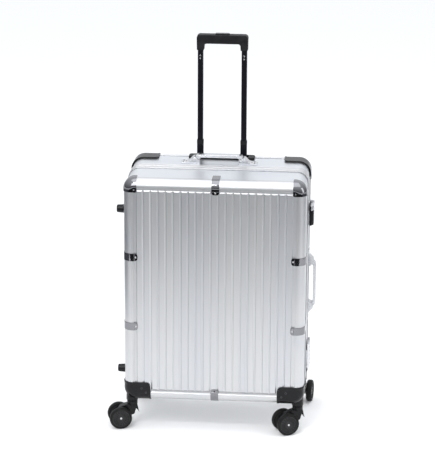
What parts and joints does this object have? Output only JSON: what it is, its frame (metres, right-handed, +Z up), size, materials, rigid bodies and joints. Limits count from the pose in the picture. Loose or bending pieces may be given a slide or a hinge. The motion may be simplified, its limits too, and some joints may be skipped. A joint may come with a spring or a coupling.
{
  "type": "hard shell suitcase on wheels",
  "caption": "Ribbed aluminium hard shell travel case with edge extrusions, hinged halves, latches, carry handles, telescopic pull handle and twin-wheel swivel casters.",
  "frame": {"origin": "on the floor, under the middle of the whole object's box, wheels down, case closed and pull handle out", "axes": "+Z up, +X across the front towards the latches (hinge at -X), -Y out of the front face"},
  "size_m": [0.5304, 0.2969, 1.001],
  "materials": {
    "shell": "fine satin anodised sheet",
    "extrusion": "bright anodised",
    "chrome": "polished",
    "black_plastic": "moulded, fine texture",
    "black_tube": "black anodised, satin",
    "rubber": "matt",
    "wheel": "satin hub, matt tread",
    "lining": "woven polyester"
  },
  "bodies": {
    "rear_half": {"rear_panel": "shell", "rear_band": "shell", "rear_edge_top": "extrusion", "rear_edge_bottom": "extrusion", "rear_edge_left": "extrusion", "rear_edge_right": "extrusion", "rear_frame_rail": "extrusion", "rear_liner": "lining", "rear_guard_top_left": "black_plastic", "rear_guard_top_right": "black_plastic", "rear_guard_bottom_left": "black_plastic", "rear_guard_bottom_right": "black_plastic", "side_foot_rear_upper": "rubber", "side_foot_rear_lower": "rubber", "hinge_leaf_rear": "extrusion", "handle_bezel": "black_plastic", "guide_foot": "black_plastic", "guide_tube_left": "black_tube", "guide_tube_right": "black_tube", "latch_base_upper": "extrusion", "latch_base_lower": "extrusion", "top_handle_bracket_left": "extrusion", "top_handle_bracket_right": "extrusion", "side_handle_bracket_upper": "extrusion", "side_handle_bracket_lower": "extrusion"},
    "front_half": {"front_panel": "shell", "front_band": "shell", "front_edge_top": "extrusion", "front_edge_bottom": "extrusion", "front_edge_left": "extrusion", "front_edge_right": "extrusion", "front_frame_rail": "extrusion", "front_liner": "lining", "front_corner_cap_left": "chrome", "front_corner_cap_right": "chrome", "front_guard_bottom_left": "black_plastic", "front_guard_bottom_right": "black_plastic", "side_foot_front_upper": "rubber", "side_foot_front_lower": "rubber", "hinge_leaf_front": "extrusion", "latch_keeper_upper": "extrusion", "latch_keeper_lower": "extrusion"},
    "top_handle": {"top_handle_grip": "extrusion"},
    "side_handle": {"side_handle_grip": "extrusion"},
    "latch_upper": {"latch_lever_upper": "black_plastic"},
    "latch_lower": {"latch_lever_lower": "extrusion"},
    "mid_stage": {"mid_tube_left": "black_tube", "mid_tube_right": "black_tube"},
    "inner_stage": {"inner_tube_left": "black_tube", "inner_tube_right": "black_tube", "pull_grip": "black_plastic"},
    "grip_button": {"grip_button": "black_plastic"},
    "fork_front_left": {"caster_fork_front_left": "black_plastic"},
    "wheels_front_left": {"caster_wheels_front_left": "wheel"},
    "fork_front_right": {"caster_fork_front_right": "black_plastic"},
    "wheels_front_right": {"caster_wheels_front_right": "wheel"},
    "fork_rear_left": {"caster_fork_rear_left": "black_plastic"},
    "wheels_rear_left": {"caster_wheels_rear_left": "wheel"},
    "fork_rear_right": {"caster_fork_rear_right": "black_plastic"},
    "wheels_rear_right": {"caster_wheels_rear_right": "wheel"}
  },
  "joints": [
    {"name": "lid_hinge", "type": "hinge", "parent": "rear_half", "child": "front_half", "pos_m": [-0.2201, -0.0078, 0.38], "axis": [0, 0, -1], "range_deg": [0, 110]},
    {"name": "handle_stage_1", "type": "slide", "parent": "rear_half", "child": "mid_stage", "axis": [0, 0, 1], "range_m": [-0.074, 0]},
    {"name": "handle_stage_2", "type": "slide", "parent": "mid_stage", "child": "inner_stage", "axis": [0, 0, 1], "range_m": [-0.236, 0]},
    {"name": "grip_button_press", "type": "slide", "parent": "inner_stage", "child": "grip_button", "axis": [0, 0, -1], "range_m": [0, 0.003], "stiffness_N_per_m": 400, "springref_m": -0.003},
    {"name": "top_handle_lift", "type": "slide", "parent": "rear_half", "child": "top_handle", "axis": [0, 0, 1], "range_m": [0, 0.005], "stiffness_N_per_m": 400, "springref_m": -0.003},
    {"name": "side_handle_lift", "type": "slide", "parent": "rear_half", "child": "side_handle", "axis": [1, 0, 0], "range_m": [0, 0.005], "stiffness_N_per_m": 400, "springref_m": -0.003},
    {"name": "latch_upper_flip", "type": "hinge", "parent": "rear_half", "child": "latch_upper", "pos_m": [0.2533, 0.0202, 0.557], "axis": [0, 0, 1], "range_deg": [0, 120]},
    {"name": "latch_lower_flip", "type": "hinge", "parent": "rear_half", "child": "latch_lower", "pos_m": [0.2508, 0.0202, 0.177], "axis": [0, 0, 1], "range_deg": [0, 120]},
    {"name": "swivel_front_left", "type": "hinge", "parent": "front_half", "child": "fork_front_left", "pos_m": [-0.1991, -0.0998, 0.064], "axis": [0, 0, 1], "continuous": true},
    {"name": "roll_front_left", "type": "hinge", "parent": "fork_front_left", "child": "wheels_front_left", "pos_m": [-0.23098, -0.10834, 0.029], "axis": [-0.2588, 0.9659, 0], "continuous": true},
    {"name": "swivel_front_right", "type": "hinge", "parent": "front_half", "child": "fork_front_right", "pos_m": [0.2289, -0.0998, 0.064], "axis": [0, 0, 1], "continuous": true},
    {"name": "roll_front_right", "type": "hinge", "parent": "fork_front_right", "child": "wheels_front_right", "pos_m": [0.19875, -0.11322, 0.029], "axis": [-0.4067, 0.9135, 0], "continuous": true},
    {"name": "swivel_rear_left", "type": "hinge", "parent": "rear_half", "child": "fork_rear_left", "pos_m": [-0.1991, 0.0842, 0.064], "axis": [0, 0, 1], "continuous": true},
    {"name": "roll_rear_left", "type": "hinge", "parent": "fork_rear_left", "child": "wheels_rear_left", "pos_m": [-0.20255, 0.11702, 0.029], "axis": [0.9945, 0.1045, 0], "continuous": true},
    {"name": "swivel_rear_right", "type": "hinge", "parent": "rear_half", "child": "fork_rear_right", "pos_m": [0.2289, 0.0842, 0.064], "axis": [0, 0, 1], "continuous": true},
    {"name": "roll_rear_right", "type": "hinge", "parent": "fork_rear_right", "child": "wheels_rear_right", "pos_m": [0.23235, 0.11702, 0.029], "axis": [0.9945, -0.1045, 0], "continuous": true}
  ]
}
